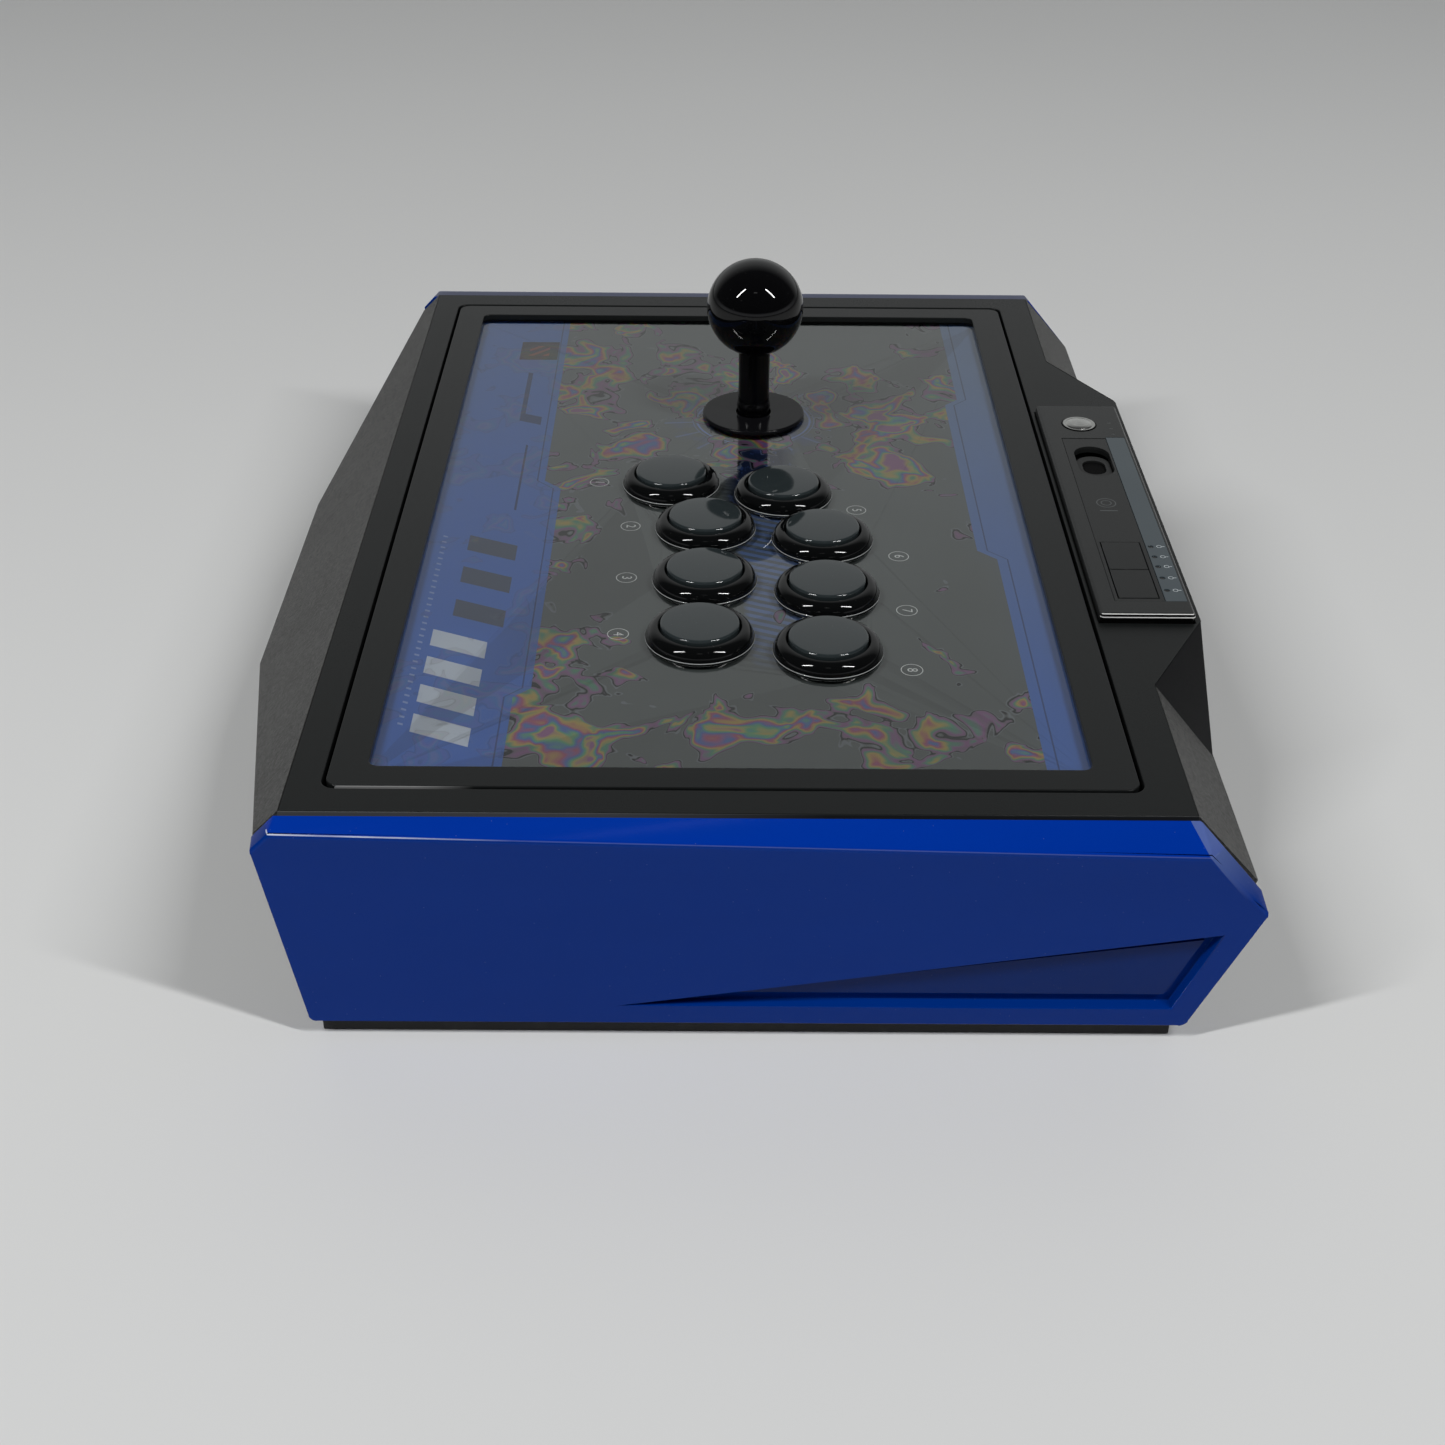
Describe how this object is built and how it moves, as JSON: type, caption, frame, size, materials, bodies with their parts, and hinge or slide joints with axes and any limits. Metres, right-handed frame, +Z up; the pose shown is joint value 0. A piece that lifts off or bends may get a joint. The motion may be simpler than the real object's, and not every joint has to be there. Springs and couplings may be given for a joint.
{
  "type": "arcade joystick enclosure",
  "caption": "Free-standing joystick enclosure with a ball-top lever, snap-in push buttons on a hinged framed lid, and a raised option console at the rear.",
  "frame": {"origin": "on the table, under the middle of the outer box", "axes": "+X towards the player's right, +Y towards the rear, +Z up"},
  "size_m": [0.3906, 0.3006, 0.13],
  "materials": {
    "case_black": "satin moulded black plastic",
    "frame_black": "fine satin black plastic",
    "textured_grey": "spark-textured dark grey plastic",
    "inner_black": "plain black plastic",
    "panel_blue": "blue gloss plastic",
    "insert_navy": "dark navy gloss plastic",
    "foot_rubber": "matt black rubber",
    "zinc_steel": "zinc plated steel",
    "clear_acrylic": "clear acrylic sheet",
    "print": null,
    "rim_black": "polished black plastic",
    "plunger_grey": "satin dark grey plastic",
    "switch_black": "plain switch housing",
    "board_green": "green circuit board",
    "nylon_white": "natural white nylon",
    "shaft_steel": "plated steel",
    "ball_black": "polished black plastic",
    "strip_blue_grey": "blue-grey gloss plastic",
    "silver_button": "bright metal-look plastic",
    "light_pipe": "unlit light pipe"
  },
  "bodies": {
    "case": {"base_pan": "inner_black", "ballast_plate": "zinc_steel", "rubber_feet": "foot_rubber", "base_screws": "zinc_steel", "front_shell": "textured_grey", "rear_shell": "textured_grey", "top_frame": "frame_black", "frame_screws": "zinc_steel", "left_bulkhead": "inner_black", "right_bulkhead": "inner_black", "left_end_panel": "panel_blue", "right_end_panel": "panel_blue", "recess_inserts": "insert_navy", "end_panel_screws": "zinc_steel", "console_housing": "case_black", "console_inset": "case_black", "console_strip": "strip_blue_grey", "console_lights": "light_pipe", "console_board": "board_green", "main_board": "board_green", "usb_socket": "zinc_steel"},
    "lid": {"lid_frame": "frame_black", "window": "clear_acrylic", "artwork_sheet": "print", "control_panel": "zinc_steel", "panel_clips": "zinc_steel", "clip_screws": "zinc_steel", "hinge_pins": "zinc_steel", "lock_tongue": "zinc_steel", "button_housings": "rim_black", "button_switches": "switch_black", "lever_plate": "zinc_steel", "lever_studs": "zinc_steel", "lever_housing": "switch_black", "lever_switches": "switch_black", "lever_board": "board_green", "restrictor_gate": "nylon_white"},
    "button_1": {"plunger_1": "plunger_grey"},
    "button_2": {"plunger_2": "plunger_grey"},
    "button_3": {"plunger_3": "plunger_grey"},
    "button_4": {"plunger_4": "plunger_grey"},
    "button_5": {"plunger_5": "plunger_grey"},
    "button_6": {"plunger_6": "plunger_grey"},
    "button_7": {"plunger_7": "plunger_grey"},
    "button_8": {"plunger_8": "plunger_grey"},
    "lever_gimbal": {"centering_spring": "zinc_steel"},
    "lever": {"lever_shaft": "shaft_steel", "shaft_cover": "rim_black", "ball_top": "ball_black", "actuator": "nylon_white", "e_clip": "zinc_steel"},
    "shutter": {"shutter_plate": "inner_black"},
    "washer": {"dust_washer": "rim_black"},
    "guide": {"guide_button": "silver_button"},
    "option_1": {"option_button_1": "case_black"},
    "option_2": {"option_button_2": "case_black"},
    "console_lock": {"lock_slider": "case_black"},
    "lid_lock": {"lid_lock_knob": "inner_black", "lid_lock_arm": "zinc_steel"}
  },
  "joints": [
    {"name": "lid_hinge", "type": "hinge", "parent": "case", "child": "lid", "pos_m": [0, 0.1075, 0.069], "axis": [-1, 0, 0], "range_deg": [0, 70]},
    {"name": "lever_side_tilt", "type": "hinge", "parent": "lid", "child": "lever_gimbal", "pos_m": [-0.0723, 0.01328, 0.056], "axis": [0, 1, 0], "range_deg": [-9.5, 9.5], "stiffness_Nm_per_rad": 1.2, "deforming": ["centering_spring"]},
    {"name": "lever_fore_tilt", "type": "hinge", "parent": "lever_gimbal", "child": "lever", "pos_m": [-0.0723, 0.01328, 0.056], "axis": [1, 0, 0], "range_deg": [-9.5, 9.5], "stiffness_Nm_per_rad": 1.2},
    {"name": "shutter_slide", "type": "slide", "parent": "lid", "child": "shutter", "axis": [1, 0, 0], "range_m": [-0.00255, 0.00255]},
    {"name": "washer_slide", "type": "slide", "parent": "shutter", "child": "washer", "axis": [0, -1, 0], "range_m": [-0.00255, 0.00255]},
    {"name": "button_1_press", "type": "slide", "parent": "lid", "child": "button_1", "axis": [0, 0, -1], "range_m": [0, 0.0025], "stiffness_N_per_m": 250, "springref_m": -0.002},
    {"name": "button_2_press", "type": "slide", "parent": "lid", "child": "button_2", "axis": [0, 0, -1], "range_m": [0, 0.0025], "stiffness_N_per_m": 250, "springref_m": -0.002},
    {"name": "button_3_press", "type": "slide", "parent": "lid", "child": "button_3", "axis": [0, 0, -1], "range_m": [0, 0.0025], "stiffness_N_per_m": 250, "springref_m": -0.002},
    {"name": "button_4_press", "type": "slide", "parent": "lid", "child": "button_4", "axis": [0, 0, -1], "range_m": [0, 0.0025], "stiffness_N_per_m": 250, "springref_m": -0.002},
    {"name": "button_5_press", "type": "slide", "parent": "lid", "child": "button_5", "axis": [0, 0, -1], "range_m": [0, 0.0025], "stiffness_N_per_m": 250, "springref_m": -0.002},
    {"name": "button_6_press", "type": "slide", "parent": "lid", "child": "button_6", "axis": [0, 0, -1], "range_m": [0, 0.0025], "stiffness_N_per_m": 250, "springref_m": -0.002},
    {"name": "button_7_press", "type": "slide", "parent": "lid", "child": "button_7", "axis": [0, 0, -1], "range_m": [0, 0.0025], "stiffness_N_per_m": 250, "springref_m": -0.002},
    {"name": "button_8_press", "type": "slide", "parent": "lid", "child": "button_8", "axis": [0, 0, -1], "range_m": [0, 0.0025], "stiffness_N_per_m": 250, "springref_m": -0.002},
    {"name": "guide_press", "type": "slide", "parent": "case", "child": "guide", "axis": [0, 0, -1], "range_m": [0, 0.001], "stiffness_N_per_m": 500, "springref_m": -0.001},
    {"name": "option_1_press", "type": "slide", "parent": "case", "child": "option_1", "axis": [0, 0, -1], "range_m": [0, 0.001], "stiffness_N_per_m": 500, "springref_m": -0.001},
    {"name": "option_2_press", "type": "slide", "parent": "case", "child": "option_2", "axis": [0, 0, -1], "range_m": [0, 0.001], "stiffness_N_per_m": 500, "springref_m": -0.001},
    {"name": "console_lock_slide", "type": "slide", "parent": "case", "child": "console_lock", "axis": [-1, 0, 0], "range_m": [0, 0.0035]},
    {"name": "lid_lock_slide", "type": "slide", "parent": "case", "child": "lid_lock", "axis": [1, 0, 0], "range_m": [0, 0.008]}
  ],
  "couplings": [
    {"joint": "shutter_slide", "follows": "lever_side_tilt", "m_per_rad": 0.01519},
    {"joint": "washer_slide", "follows": "lever_fore_tilt", "m_per_rad": 0.01519}
  ]
}
